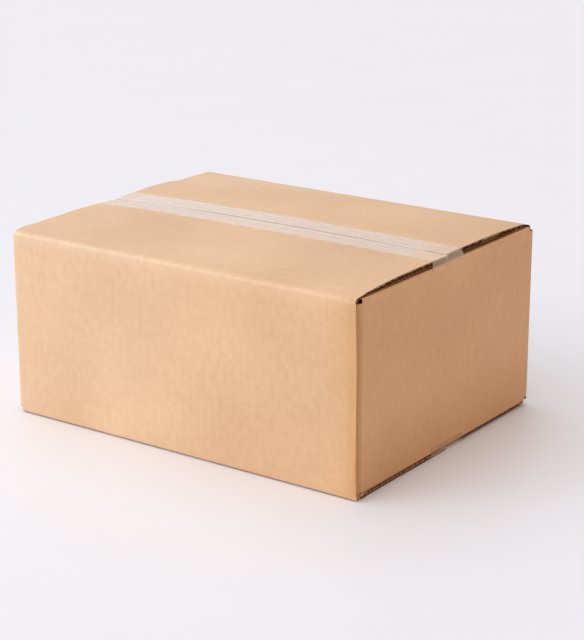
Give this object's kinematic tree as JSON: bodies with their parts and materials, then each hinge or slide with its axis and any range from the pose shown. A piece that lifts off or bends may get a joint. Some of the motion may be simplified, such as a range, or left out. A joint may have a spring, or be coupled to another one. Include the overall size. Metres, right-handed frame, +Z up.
{
  "type": "closed cardboard box",
  "caption": "Closed corrugated cardboard shipping box, its long flaps meeting at a taped centre seam above and below, standing on a flat base",
  "frame": {"origin": "centre of the base, on the floor", "axes": "+X along the length and the taped seams, towards the end beside the glued corner; +Y across the width, from the front panel to the rear panel; +Z up"},
  "size_m": [0.3734, 0.29, 0.1795],
  "materials": {
    "board": "plain brown board",
    "tape": "clear film"
  },
  "bodies": {
    "root": {"carton": "board", "top_tape": "tape", "base_tape": "tape"}
  },
  "joints": []
}
